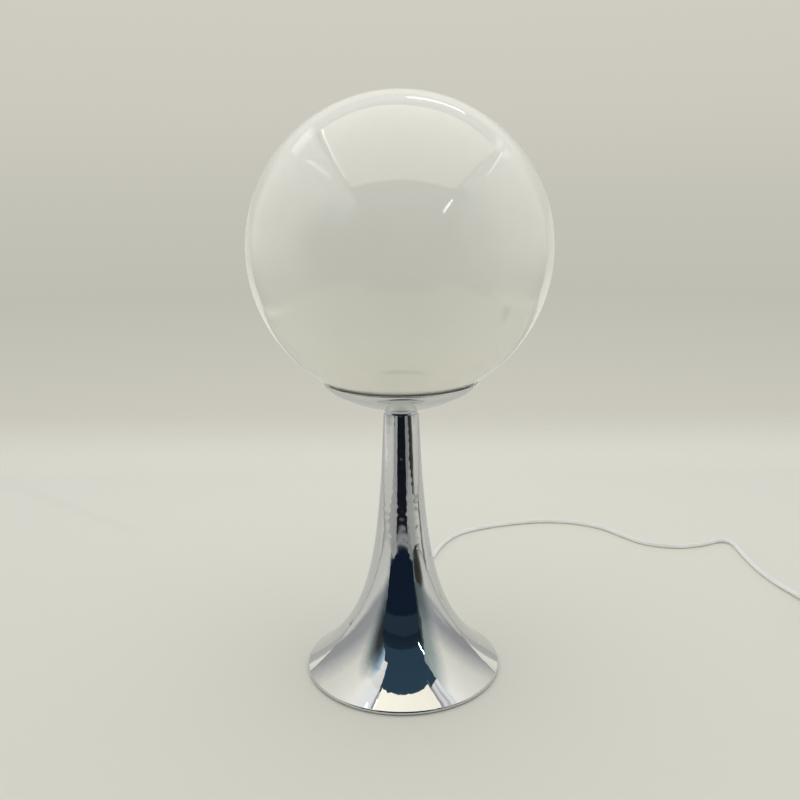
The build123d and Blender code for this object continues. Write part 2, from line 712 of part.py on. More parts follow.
def ribbed_sleeve(root, direction, length, root_radius, tip_radius, hole):
    """A tapered sleeve with grooves, from its root along a level direction."""
    grooves = []
    for groove in range(relief_grooves):
        start = length * (groove + relief_groove_lead) / (relief_grooves + relief_groove_lead)
        grooves.append((start, start + relief_groove_width))
    with BuildPart() as sleeve:
        with BuildSketch(Plane(origin=root, x_dir=direction, z_dir=(1, 0, 0))):
            side = Vector(0, 0, 1).dot(Vector(1, 0, 0).cross(Vector(*direction)))
            with BuildLine():
                Polyline((0, side * hole), (0, side * root_radius), (length, side * tip_radius),
                         (length, side * hole), close=True)
            make_face()
        revolve(axis=Axis(root, direction))
        for start, end in grooves:
            bottom = root_radius + (tip_radius - root_radius) * start / length - relief_groove_depth
            with BuildSketch(Plane(origin=root, z_dir=direction).offset(start)):
                Circle(2 * root_radius)
                Circle(bottom, mode=Mode.SUBTRACT)
            extrude(amount=end - start, mode=Mode.SUBTRACT)
    return sleeve.part


save(ribbed_sleeve((0, bush_collar_end, cord_exit_height), (0, 1, 0), relief_length,
                   relief_root_radius, relief_tip_radius, cord_hole), "strain_relief")

# ---------------------------------------------------------------- lead inside the foot
with BuildPart() as inner_cord:
    extrude(exit_circle(sheath_end, cord_radius), amount=relief_tip - sheath_end)
save(inner_cord.part, "inner_cord")

with BuildPart() as cord_clamp:
    with BuildSketch(Plane.XY.offset(ballast_top)):
        with Locations((0, clamp_distance)):
            RectangleRounded(clamp_length, clamp_width, clamp_corner_radius)
    extrude(amount=clamp_height)
    fillet(cord_clamp.faces().sort_by(Axis.Z)[-1].edges(), clamp_edge_radius)
    with BuildSketch(Plane.XY.offset(ballast_top)):
        with Locations((0, clamp_distance)):
            with GridLocations(clamp_screw_spacing, 0, 2, 1):
                Circle(clamp_screw_radius + cord_fit_gap)
            Rectangle(2 * cord_hole, clamp_width)
    extrude(amount=clamp_height, mode=Mode.SUBTRACT)
    with BuildSketch(Plane.XY.offset(cord_exit_height + cord_hole)):
        with Locations((0, clamp_distance)):
            Rectangle(2 * (cord_hole + clamp_bridge_overlap), clamp_width - 2 * clamp_bridge_inset)
    extrude(amount=ballast_top + clamp_height - cord_exit_height - cord_hole)
save(cord_clamp.part, "cord_clamp")

with BuildPart() as clamp_screws:
    screw_foot = ballast_top - clamp_screw_depth + clamp_screw_stop
    with BuildSketch(Plane.XY.offset(screw_foot)):
        with Locations((0, clamp_distance)):
            with GridLocations(clamp_screw_spacing, 0, 2, 1):
                Circle(clamp_screw_radius)
    extrude(amount=ballast_top + clamp_height - screw_foot)
    with BuildSketch(Plane.XY.offset(ballast_top + clamp_height)):
        with Locations((0, clamp_distance)):
            with GridLocations(clamp_screw_spacing, 0, 2, 1):
                Circle(clamp_screw_head_radius)
    extrude(amount=clamp_screw_head_height)
save(clamp_screws.part, "clamp_screws")

with BuildPart() as inner_leads:
    for side in (-1, 1):
        x = side * lead_spacing / 2
        terminal_x = side * terminal_spacing / 2
        with BuildLine():
            lead = FilletPolyline((x, sheath_end, cord_exit_height), (x, 0, cord_exit_height),
                                  (x, 0, tube_top + lead_fan_start),
                                  (terminal_x, 0, insert_bottom - lead_fan_drop),
                                  (terminal_x, 0, insert_bottom),
                                  radius=[lead_bend_radius, lead_end_bend_radius, lead_end_bend_radius])
        with BuildSketch(Plane(origin=lead @ 0, z_dir=lead % 0)):
            Circle(lead_radius)
        sweep(path=lead)
save(inner_leads.part, "inner_leads")


# ---------------------------------------------------------------- the lead's route outside the lamp
def route_radii(points):
    """Arc radius at each inner point of a route: 0.45 of the shorter run over tan(half the turn)."""
    radii = []
    for before, here, after in zip(points, points[1:], points[2:]):
        run_in = Vector(*here) - Vector(*before)
        run_out = Vector(*after) - Vector(*here)
        half_turn = radians(run_in.get_angle(run_out)) / 2
        radii.append(0.45 * min(run_in.length, run_out.length) / tan(half_turn))
    return radii


def lead_tube(label, points):
    """A round lead along straight runs joined by tangent arcs."""
    radii = route_radii(points)
    with BuildPart() as tube:
        with BuildLine():
            route = FilletPolyline(*points, radius=radii)
        with BuildSketch(Plane(origin=route @ 0, z_dir=route % 0)):
            Circle(cord_radius)
        sweep(path=route)
    section = pi * cord_radius ** 2
    print(f"{label}: length {route.length:.1f}, volume over section times length "
          f"{tube.part.volume / (section * route.length):.5f}, "
          f"radii {[round(radius, 1) for radius in radii]}")
    save(tube.part, label)
    return route.length


floor = cord_radius                 # height of the lead's middle where it lies on the table
cord_route = [
    (0, relief_tip, cord_exit_height), (0, relief_tip + 14, cord_exit_height),
    (1, relief_tip + 30, cord_exit_height - 4), (5, relief_tip + 47, floor + 2), (12, 177, floor),
    (23, 200, floor), (36, 228, floor), (46, 262, floor), (67, 298, floor), (98, 319, floor),
    (141, 334, floor), (181, 342, floor), (222, 338, floor), (258, 318, floor), (276, 290, floor),
    (297, 262, floor), (334, 251, floor), (361, 257, floor), (376, 263.5, floor), (388.5, 269.5, floor),
    (395.5, 270.5, floor), (401.3, 267.2, floor), (404.3, 260.6, floor), (404.6, 247, floor),
    (403.4, 222, floor), (403, 188, floor), (408, 153, floor), (417, 121, floor + 0.6),
    (switch_x - 0.5, switch_y + switch_length / 2 + 14, switch_parting - 0.3),
    (switch_x, switch_y + switch_length / 2, switch_parting),
    (switch_x, switch_y + switch_length / 2 - switch_grip + lead_end_gap, switch_parting)]
lead_lengths = [lead_tube("cord_run", cord_route)]

# ---------------------------------------------------------------- inline switch
# its own frame: x along the lead, towards the coil, and z up
switch_plane = Plane(origin=(switch_x, switch_y, 0), x_dir=(0, -1, 0), z_dir=(0, 0, 1))
switch_screw_x = switch_length / 2 - switch_screw_inset
switch_screw_y = switch_width / 2 - switch_wall - switch_boss_radius + switch_boss_overlap
switch_screw_places = [(-switch_screw_x, switch_screw_y), (switch_screw_x, -switch_screw_y)]
rocker_pivot_height = switch_height - rocker_stand
rocker_reach = hypot(rocker_length / 2, rocker_stand + rocker_crown)
pocket_length = 2 * (rocker_reach + rocker_gap)
pocket_width = rocker_width + 2 * rocker_gap
block_length = switch_grip + 1.0    # solid ends that grip the lead


def switch_cavity(bottom, top):
    """The space inside the case between two heights."""
    with BuildPart() as cavity:
        with BuildSketch(switch_plane.offset(bottom)):
            RectangleRounded(switch_length - 2 * switch_wall, switch_width - 2 * switch_wall,
                             switch_end_radius - switch_wall)
            with Locations((-switch_length / 2, 0), (switch_length / 2, 0)):
                Rectangle(2 * block_length, 4 * cord_radius, mode=Mode.SUBTRACT)
        extrude(amount=top - bottom)
    return cavity.part


def switch_lead_holes():
    """The two holes that the lead lies in, at the parting line."""
    with BuildPart() as holes:
        for end in (-1, 1):
            hole_plane = Plane(origin=(switch_x, switch_y - end * (switch_length / 2 + 1), switch_parting),
                               z_dir=(0, end, 0))
            with BuildSketch(hole_plane):
                Circle(cord_hole)
            extrude(amount=block_length + 2)
    return holes.part


with BuildPart() as switch_base:
    with BuildSketch(switch_plane):
        RectangleRounded(switch_length, switch_width, switch_end_radius)
    extrude(amount=switch_parting)
    fillet(switch_base.faces().sort_by(Axis.Z)[0].edges(), switch_edge_radius)
    add(switch_cavity(switch_wall, switch_parting), mode=Mode.SUBTRACT)
    with BuildSketch(switch_plane.offset(switch_wall)):
        with Locations(*switch_screw_places):
            Circle(switch_boss_radius)
    extrude(amount=switch_parting - switch_wall)
    with BuildSketch(switch_plane):
        with Locations(*switch_screw_places):
            Circle(switch_screw_radius + cord_fit_gap)
    extrude(amount=switch_parting, mode=Mode.SUBTRACT)
    with BuildSketch(switch_plane):
        with Locations(*switch_screw_places):
            Circle(switch_screw_head_radius + cord_fit_gap)
    extrude(amount=switch_wall, mode=Mode.SUBTRACT)
    add(switch_lead_holes(), mode=Mode.SUBTRACT)
save(switch_base.part, "switch_base")

with BuildPart() as switch_cover:
    with BuildSketch(switch_plane.offset(switch_parting)):
        RectangleRounded(switch_length, switch_width, switch_end_radius)
    extrude(amount=switch_height - switch_parting)
    fillet(switch_cover.faces().sort_by(Axis.Z)[-1].edges(), switch_edge_radius)
    add(switch_cavity(switch_parting, switch_height - switch_wall), mode=Mode.SUBTRACT)
    with BuildSketch(switch_plane.offset(switch_height - switch_wall)):
        Rectangle(pocket_length + 2 * switch_wall, pocket_width + 2 * switch_wall)
    extrude(amount=-switch_pocket_depth)
    with BuildSketch(switch_plane.offset(switch_parting)):
        with Locations(*switch_screw_places):
            Circle(switch_boss_radius)
    extrude(amount=switch_height - switch_wall - switch_parting)
    with BuildSketch(switch_plane.offset(switch_height)):
        Rectangle(pocket_length, pocket_width)
    extrude(amount=-(switch_wall + switch_pocket_depth), mode=Mode.SUBTRACT)
    with BuildSketch(Plane(origin=(switch_x - pocket_width, switch_y, rocker_pivot_height),
                           z_dir=(1, 0, 0))):
        Circle(rocker_pin_radius + rocker_pin_gap)
    extrude(amount=2 * pocket_width, mode=Mode.SUBTRACT)
    with BuildSketch(switch_plane.offset(switch_parting)):
        with Locations(*switch_screw_places):
            Circle(switch_screw_radius + nut_gap)
    extrude(amount=switch_height - 2 * switch_wall - switch_parting, mode=Mode.SUBTRACT)
    add(switch_lead_holes(), mode=Mode.SUBTRACT)
save(switch_cover.part, "switch_cover")

tilt_cos = cos(radians(rocker_tilt))
tilt_sin = sin(radians(rocker_tilt))
rocker_plane = Plane(origin=(switch_x, switch_y, rocker_pivot_height),
                     x_dir=(0, -tilt_cos, -tilt_sin), z_dir=(-1, 0, 0))
with BuildPart() as switch_rocker:
    with BuildSketch(rocker_plane):
        with BuildLine():
            half = rocker_length / 2
            crown = rocker_stand + rocker_crown - rocker_shoulder
            waist = half - rocker_draft
            foot = half * rocker_foot_share
            ThreePointArc((-half, crown), (0, crown - rocker_dish), (half, crown))
            Polyline((half, crown), (waist, 0), (foot, -rocker_depth), (-foot, -rocker_depth),
                     (-waist, 0), (-half, crown))
        make_face()
    extrude(amount=rocker_width / 2, both=True)
    fillet(switch_rocker.edges().filter_by(Axis.X).group_by(Axis.Z)[-1], rocker_round)
    with BuildSketch(rocker_plane):
        Circle(rocker_pin_radius)
    extrude(amount=pocket_width / 2 + switch_wall - rocker_pin_stop, both=True)
save(switch_rocker.part, "switch_rocker")

with BuildPart() as switch_contacts:
    for end in (-1, 1):
        strip_root = switch_length / 2 - block_length - strip_root_gap
        strip_low = switch_wall + strip_lift
        strip_high = switch_parting - strip_lift
        with BuildSketch(Plane(origin=(switch_x, switch_y, 0), x_dir=(0, -end, 0), z_dir=(-end, 0, 0))):
            with BuildLine():
                FilletPolyline((strip_root, strip_low), (strip_bend, strip_low), (strip_crest, strip_high),
                               (strip_tip, strip_high), radius=strip_bend_radius)
            trace(line_width=strip_thickness)
        extrude(amount=strip_width / 2, both=True)
save(switch_contacts.part, "switch_contacts")

with BuildPart() as switch_screws:
    with BuildSketch(switch_plane.offset(switch_screw_sink)):
        with Locations(*switch_screw_places):
            Circle(switch_screw_head_radius)
    extrude(amount=switch_wall - switch_screw_sink)
    with BuildSketch(switch_plane.offset(switch_wall)):
        with Locations(*switch_screw_places):
            Circle(switch_screw_radius)
    extrude(amount=switch_height - 3 * switch_wall - switch_screw_stop)
save(switch_screws.part, "switch_screws")

# ---------------------------------------------------------------- coil of spare lead
cord_diameter = 2 * cord_radius
coil_x = switch_x + coil_outer_radius
coil_y = switch_y - switch_length / 2 - switch_to_coil
coil_low = tie_thickness + tie_gap + cord_radius
coil_pitch = cord_diameter + coil_turn_gap
coil_high = coil_low + coil_pitch
radii_in = [coil_outer_radius - coil_pitch / 2 * turn for turn in range(coil_half_turns)]
climb_radius = radii_in[-1] - coil_pitch / 2
coil_radii = radii_in + [climb_radius] + radii_in[::-1]
coil_start_x = coil_x - coil_outer_radius
coil_end_x = coil_x + coil_outer_radius
switch_out = switch_y - switch_length / 2

lead_lengths.append(switch_length - 2 * switch_grip)
lead_lengths.append(lead_tube("cord_lead", [
    (switch_x, switch_out + switch_grip - lead_end_gap, switch_parting),
    (switch_x, switch_out - 6, switch_parting),
    (coil_start_x, switch_out - 17, coil_low),
    (coil_start_x, coil_y + cord_diameter, coil_low)]))

with BuildPart() as cord_coil:
    with BuildLine() as coil_path:
        place = Vector(coil_start_x, coil_y, coil_low)
        Line(place + Vector(0, cord_diameter, 0), place)
        heading = Vector(0, -1, 0)
        for turn, radius in enumerate(coil_radii):
            rise = coil_high - coil_low if turn == coil_half_turns else 0
            across = Vector(-2 * radius * heading.Y, 0, rise)
            top = place + across / 2 + heading * (across.length / 2)
            TangentArc(place, top, tangent=heading)
            TangentArc(top, place + across, tangent=across)
            place = place + across
            heading = heading * -1
        Line(place, place + Vector(0, cord_diameter, 0))
    coil_route = coil_path.wires()[0]
    with BuildSketch(Plane(origin=coil_route @ 0, z_dir=coil_route % 0)):
        Circle(cord_radius)
    sweep(path=coil_route)
save(cord_coil.part, "cord_coil")

coil_length = coil_route.length
coil_samples = 600
samples = [coil_route @ (step / coil_samples) for step in range(coil_samples + 1)]
apart = int(4 * cord_diameter / coil_length * coil_samples)
least = min((one - other).length for index, one in enumerate(samples)
            for other in samples[index + apart:])
print(f"cord_coil: length {coil_length:.1f}, least gap to itself {least - cord_diameter:.2f}, volume "
      f"over section times length {cord_coil.part.volume / (pi * cord_radius ** 2 * coil_length):.5f}")
lead_lengths.append(coil_length)

with BuildPart() as coil_tie:
    bundle_outer = coil_outer_radius + cord_radius + tie_gap
    bundle_inner = sqrt(climb_radius ** 2 - (tie_width / 2) ** 2) - cord_radius - tie_gap
    bundle_middle = coil_y - (bundle_outer + bundle_inner) / 2
    bundle_width = bundle_outer - bundle_inner
    bundle_height = coil_high - coil_low + cord_diameter + 2 * tie_gap
    tie_corner = cord_radius
    with BuildSketch(Plane(origin=(coil_x, bundle_middle, (coil_low + coil_high) / 2), x_dir=(0, 1, 0),
                           z_dir=(1, 0, 0))):
        RectangleRounded(bundle_width + 2 * tie_thickness, bundle_height + 2 * tie_thickness,
                         tie_corner + tie_thickness)
        RectangleRounded(bundle_width, bundle_height, tie_corner, mode=Mode.SUBTRACT)
    extrude(amount=tie_width / 2, both=True)
save(coil_tie.part, "coil_tie")

# ---------------------------------------------------------------- plug
plug_x = coil_end_x + plug_shift
plug_middle = plug_height / 2
tail_tip = coil_y + coil_to_plug
tail_root = tail_tip + plug_tail_length
lead_lengths.append(lead_tube("plug_lead", [
    (coil_end_x, coil_y + cord_diameter, coil_high), (coil_end_x, coil_y + 20, coil_high),
    (coil_end_x + 0.3, coil_y + 36, plug_middle - 1), (plug_x - 0.4, tail_tip - 24, plug_middle - 2.4),
    (plug_x, tail_tip - 10, plug_middle), (plug_x, tail_tip, plug_middle)]))

plug_plane = Plane(origin=(plug_x, tail_root, 0), x_dir=(0, 1, 0), z_dir=(0, 0, 1))
plug_face = tail_root + plug_length
pin_places = [(plug_x - pin_spacing / 2, plug_middle), (plug_x + pin_spacing / 2, plug_middle)]
pin_core_radius = pin_radius * pin_core_share
with BuildPart() as plug_body:
    with BuildSketch(plug_plane):
        with BuildLine():
            outline = [(0, plug_root_width / 2),
                       (plug_length * plug_root_share, plug_root_width / 2 + plug_root_swell),
                       (plug_length * plug_flank_share, plug_width / 2),
                       (plug_length * plug_wide_share, plug_width / 2),
                       (plug_length, plug_face_width / 2)]
            mirrored = [(x, -y) for x, y in reversed(outline)]
            Polyline(*outline, *mirrored, close=True)
        make_face()
        fillet(vertices(), plug_corner_radius)
    extrude(amount=plug_height)
    fillet(plug_body.faces().filter_by(Axis.Z).edges(), plug_edge_radius)
    with BuildSketch(Plane.XZ.offset(-plug_face)):
        with Locations(*pin_places):
            Circle(pin_radius + nut_gap)
    extrude(amount=pin_seat_depth, mode=Mode.SUBTRACT)
    add(ribbed_sleeve((plug_x, tail_root + tail_overlap, plug_middle), (0, -1, 0),
                      plug_tail_length + tail_overlap, plug_tail_root_radius, plug_tail_tip_radius, 0))
save(plug_body.part, "plug_body")

with BuildPart() as plug_pins:
    with BuildSketch(Plane.XZ.offset(-(plug_face - pin_seat_depth))):
        with Locations(*pin_places):
            Circle(pin_core_radius)
    extrude(amount=-(pin_seat_depth + pin_length - pin_core_stop))
    with BuildSketch(Plane.XZ.offset(-(plug_face + pin_sleeve_length))):
        with Locations(*pin_places):
            Circle(pin_radius)
    extrude(amount=-(pin_length - pin_sleeve_length))
    fillet(plug_pins.faces().sort_by(Axis.Y)[-2:].edges(), pin_tip_round)
save(plug_pins.part, "plug_pins")

with BuildPart() as plug_pin_sleeves:
    with BuildSketch(Plane.XZ.offset(-(plug_face - pin_seat_depth))):
        with Locations(*pin_places):
            Circle(pin_sleeve_radius)
            Circle(pin_core_radius + nut_gap, mode=Mode.SUBTRACT)
    extrude(amount=-(pin_seat_depth + pin_sleeve_length))
save(plug_pin_sleeves.part, "plug_pin_sleeves")

print(f"lead from the strain relief to the plug: {sum(lead_lengths) + plug_tail_length:.0f} mm")
print(f"globe centre {globe_centre:.2f}, opening {globe_opening:.2f}, throat {globe_throat:.2f}, "
      f"top {globe_centre + globe_radius:.2f}; bulb {bulb_bottom:.2f} to {bulb_top:.2f}")
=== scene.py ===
"""Looks of the glass globe table lamp: opal glass, chrome, white lead and their staging.

Metres, +Z up. The origin is the centre of the lamp's underside and the front faces -Y.
"""
from math import cos, pi, radians, sin, sqrt

import bmesh
import bpy
from mathutils import Matrix, Vector


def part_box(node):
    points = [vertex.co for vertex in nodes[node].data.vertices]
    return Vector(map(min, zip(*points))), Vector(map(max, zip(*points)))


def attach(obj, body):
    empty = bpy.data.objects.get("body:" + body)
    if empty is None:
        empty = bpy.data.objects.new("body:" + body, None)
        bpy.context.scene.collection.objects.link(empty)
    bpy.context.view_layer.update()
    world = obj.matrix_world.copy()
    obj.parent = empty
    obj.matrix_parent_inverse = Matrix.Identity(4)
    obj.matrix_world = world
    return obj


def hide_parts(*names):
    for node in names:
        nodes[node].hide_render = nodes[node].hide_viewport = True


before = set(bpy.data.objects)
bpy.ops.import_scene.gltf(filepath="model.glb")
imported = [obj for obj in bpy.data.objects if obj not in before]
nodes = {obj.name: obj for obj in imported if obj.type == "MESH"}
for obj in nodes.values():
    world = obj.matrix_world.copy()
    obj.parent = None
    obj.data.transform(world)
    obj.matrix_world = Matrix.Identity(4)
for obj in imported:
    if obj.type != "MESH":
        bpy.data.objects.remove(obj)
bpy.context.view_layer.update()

MM = 0.001


def add_object(name, data):
    """A new object in the scene."""
    made = bpy.data.objects.new(name, data)
    bpy.context.scene.collection.objects.link(made)
    return made


def box_mm(node):
    """A CAD node's lowest and highest corners, in millimetres."""
    return [[round(value / MM, 4) for value in corner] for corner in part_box(node)]


# ---------------------------------------------------------------- camera
photo_size = 800                    # the photograph's side, in pixels
focal_pixels = 839.9                # focal length, in the photograph's pixels
sensor_width = 36.0                 # millimetres
camera_place = (-0.0009, -0.6992, 0.4087)
camera_dip = radians(13.06)         # below the horizontal
camera_roll = radians(0.525)        # clockwise
nearest_seen, farthest_seen = 0.01, 50

camera_data = bpy.data.cameras.new("camera")
camera_data.sensor_width = sensor_width
camera_data.lens = focal_pixels / photo_size * sensor_width
camera_data.clip_start = nearest_seen
camera_data.clip_end = farthest_seen
camera = add_object("camera", camera_data)
camera.matrix_world = (Matrix.Translation(camera_place)
                       @ Matrix.Rotation(pi / 2 - camera_dip, 4, "X")
                       @ Matrix.Rotation(-camera_roll, 4, "Z"))
bpy.context.scene.camera = camera
bpy.context.scene.view_settings.view_transform = "Standard"


# ---------------------------------------------------------------- node graphs
class Graph:
    """A material's node tree, with short calls for the nodes used here."""

    def __init__(self, name):
        self.material = bpy.data.materials.new(name)
        self.material.use_nodes = True
        self.tree = self.material.node_tree
        self.shader = self.tree.nodes["Principled BSDF"]
        self.output = self.tree.nodes["Material Output"]
        self.coordinates = self.tree.nodes.new("ShaderNodeTexCoord").outputs["Object"]

    def set(self, **values):
        """Set sockets of the Principled shader; coat_weight stands for Coat Weight."""
        for name, value in values.items():
            label = "IOR" if name == "ior" else name.replace("_", " ").title()
            self.shader.inputs[label].default_value = value
        return self

    def add(self, kind, **settings):
        """A new node of a kind, with its settings."""
        node = self.tree.nodes.new("ShaderNode" + kind)
        for name, value in settings.items():
            setattr(node, name, value)
        return node

    def link(self, output, target):
        """Join an output to a named socket of the Principled shader, or to any socket."""
        if isinstance(target, str):
            target = self.shader.inputs[target]
        self.tree.links.new(output, target)

    def feed(self, socket, value):
        """Give a socket an output, a colour (r, g, b) or a number."""
        if isinstance(value, bpy.types.NodeSocket):
            self.link(value, socket)
        elif isinstance(value, tuple):
            socket.default_value = (*value, 1)
        else:
            socket.default_value = value

    def axis(self, name):
        """One of the coordinates: X, Y or Z."""
        separate = self.add("SeparateXYZ")
        self.link(self.coordinates, separate.inputs["Vector"])
        return separate.outputs[name]

    def noise(self, scale, detail=3.0, stretch=(1, 1, 1)):
        """Noise in the object's own coordinates; scale is in features per metre."""
        mapping = self.add("Mapping")
        mapping.inputs["Scale"].default_value = stretch
        self.link(self.coordinates, mapping.inputs["Vector"])
        noise = self.add("TexNoise")
        noise.inputs["Scale"].default_value = scale
        noise.inputs["Detail"].default_value = detail
        self.link(mapping.outputs["Vector"], noise.inputs["Vector"])
        return noise.outputs["Fac"]

    def ramp(self, factor, *stops):
        """A colour ramp; each stop is (place, (r, g, b))."""
        ramp = self.add("ValToRGB")
        elements = ramp.color_ramp.elements
        while len(elements) < len(stops):
            elements.new(0.5)
        for element, (place, colour) in zip(elements, stops):
            element.position = place
            element.color = (*colour, 1)
        self.link(factor, ramp.inputs["Fac"])
        return ramp.outputs["Color"]

    def between(self, factor, low, high):
        """Map a factor from 0..1 to low..high."""
        mapped = self.add("MapRange")
        mapped.inputs["To Min"].default_value = low
        mapped.inputs["To Max"].default_value = high
        self.link(factor, mapped.inputs["Value"])
        return mapped.outputs["Result"]

    def step_between(self, value, low, high, below, above):
        """A soft step from one number to another while a value goes from low to high."""
        step = self.add("MapRange", interpolation_type="SMOOTHSTEP")
        numbers = {"From Min": low, "From Max": high, "To Min": below, "To Max": above}
        for label, number in numbers.items():
            step.inputs[label].default_value = number
        self.link(value, step.inputs["Value"])
        return step.outputs["Result"]

    def maths(self, operation, *values):
        """A maths node over outputs or plain numbers."""
        node = self.add("Math", operation=operation)
        for socket, value in zip(node.inputs, values):
            self.feed(socket, value)
        return node.outputs["Value"]

    def mix(self, factor, one, other, blend="MIX"):
        """Two colours mixed by a factor; 0 is the first and 1 the second, or their blend."""
        node = self.add("MixRGB", blend_type=blend)
        for label, value in {"Fac": factor, "Color1": one, "Color2": other}.items():
            self.feed(node.inputs[label], value)
        return node.outputs["Color"]

    def mottle(self, noise, dull, bright, spread=0.2):
        """Base colour from dull to bright as a noise goes from 0.5 - spread to 0.5 + spread."""
        self.link(self.ramp(noise, (0.5 - spread, dull), (0.5 + spread, bright)), "Base Color")

    def gloss(self, noise, low, high):
        """Roughness from low to high, by a noise."""
        self.link(self.between(noise, low, high), "Roughness")

    def bump(self, height, distance):
        """Bump from a height, with its depth in metres."""
        bump = self.add("Bump")
        bump.inputs["Distance"].default_value = distance
        self.link(height, bump.inputs["Height"])
        self.link(bump.outputs["Normal"], "Normal")


# ---------------------------------------------------------------- finishes
wave_depth = 0.00001
ring_pitch = 0.0075                 # rings that the spinning left in the upper stem
ring_depth = 0.000004
ring_wobble = 0.002
rings_from, rings_full = 0.125, 0.155
neck_from, neck_to = 0.2, 0.258     # the stem's metal leans in a little towards the neck
neck_lean = 0.0008


def spinning(graph):
    """Height of the rings and the lean that spinning left in the stem."""
    height = graph.axis("Z")
    wobble = graph.between(graph.noise(30, detail=1, stretch=(0.1, 0.1, 1)),
                           -ring_wobble, ring_wobble)
    uneven = graph.maths("ADD", height, wobble)
    ring = graph.maths("SINE", graph.maths("MULTIPLY", uneven, 2 * pi / ring_pitch))
    depth = graph.step_between(height, rings_from, rings_full, 0, ring_depth)
    lean = graph.step_between(height, neck_from, neck_to, 0, neck_lean)
    return graph.maths("ADD", graph.maths("MULTIPLY", ring, depth), lean)


def chrome(name, relief=None):
    """Bright nickel-chrome plate over spun steel: a little waviness, hazy in places."""
    graph = Graph(name).set(metallic=1.0)
    graph.mottle(graph.noise(60, detail=4), (0.745, 0.765, 0.78), (0.78, 0.79, 0.8))
    graph.gloss(graph.noise(25, detail=5), 0.012, 0.045)
    height = graph.between(graph.noise(90, detail=1.5, stretch=(0.25, 0.25, 1)), 0, wave_depth)
    if relief:
        height = graph.maths("ADD", relief(graph), height)
    graph.bump(height, 1.0)
    return graph.material


def opal_glass():
    """Blown opal glass, glossy outside, milk white through its depth."""
    graph = Graph("opal_glass").set(ior=1.5, coat_weight=0.7, coat_roughness=0.02,
                                    sheen_weight=0.3, sheen_roughness=0.15,
                                    subsurface_weight=0.25, subsurface_scale=0.02,
                                    subsurface_radius=(1.0, 0.95, 0.85))
    graph.mottle(graph.noise(9, detail=3), (0.765, 0.765, 0.69), (0.79, 0.785, 0.71))
    graph.gloss(graph.noise(14, detail=2), 0.05, 0.09)
    graph.bump(graph.noise(7, detail=1), 0.00008)
    return graph.material


def frosted_glass():
    """The bulb's glass, coated white inside."""
    graph = Graph("bulb_glass").set(ior=1.5, coat_weight=0.6, coat_roughness=0.03,
                                    subsurface_weight=0.3, subsurface_scale=0.01,
                                    subsurface_radius=(1.0, 1.0, 0.95))
    graph.mottle(graph.noise(40), (0.82, 0.82, 0.8), (0.88, 0.88, 0.86))
    graph.gloss(graph.noise(90), 0.18, 0.3)
    graph.bump(graph.noise(60), 0.00002)
    return graph.material


def ceramic():
    """Glazed steatite."""
    graph = Graph("ceramic").set(ior=1.6, coat_weight=0.3, coat_roughness=0.1)
    graph.mottle(graph.noise(200, detail=5), (0.66, 0.64, 0.57), (0.78, 0.76, 0.7))
    graph.gloss(graph.noise(150), 0.3, 0.5)
    graph.bump(graph.noise(1200), 0.00003)
    return graph.material


def plastic(name, colour, shade, roughness):
    """Moulded plastic with a fine grain and a little unevenness of colour."""
    graph = Graph(name).set(ior=1.46)
    graph.mottle(graph.noise(120), shade, colour)
    graph.gloss(graph.noise(300), roughness - 0.06, roughness + 0.06)
    graph.bump(graph.noise(900, detail=2), 0.00002)
    return graph.material


def white_pvc():
    """The lead's white PVC sheath."""
    graph = Graph("white_pvc").set(ior=1.5, sheen_weight=0.05)
    graph.mottle(graph.noise(60), (0.77, 0.77, 0.76), (0.83, 0.83, 0.82))
    graph.gloss(graph.noise(200), 0.3, 0.45)
    graph.bump(graph.noise(500, detail=2), 0.00004)
    return graph.material


def metal(name, colour, shade, roughness):
    """Bare or plated metal with a fine grain."""
    graph = Graph(name).set(metallic=1.0)
    graph.mottle(graph.noise(200, detail=5), shade, colour, spread=0.25)
    graph.gloss(graph.noise(100), roughness - 0.08, roughness + 0.1)
    graph.bump(graph.noise(1200), 0.00001)
    return graph.material


def cast_iron():
    """Painted grey iron, as cast."""
    graph = Graph("cast_iron").set(metallic=0.3)
    graph.mottle(graph.noise(500, detail=6), (0.055, 0.056, 0.058), (0.1, 0.1, 0.1))
    graph.gloss(graph.noise(250), 0.5, 0.8)
    graph.bump(graph.noise(900, detail=5), 0.00025)
    return graph.material


def felt():
    """Pressed black-green felt."""
    graph = Graph("felt").set(roughness=0.95, sheen_weight=0.5, sheen_roughness=0.6)
    graph.mottle(graph.noise(1500, detail=6, stretch=(1, 2.5, 1)),
                 (0.02, 0.024, 0.022), (0.06, 0.065, 0.06))
    graph.bump(graph.noise(2200, detail=6, stretch=(2, 1, 1)), 0.0004)
    return graph.material


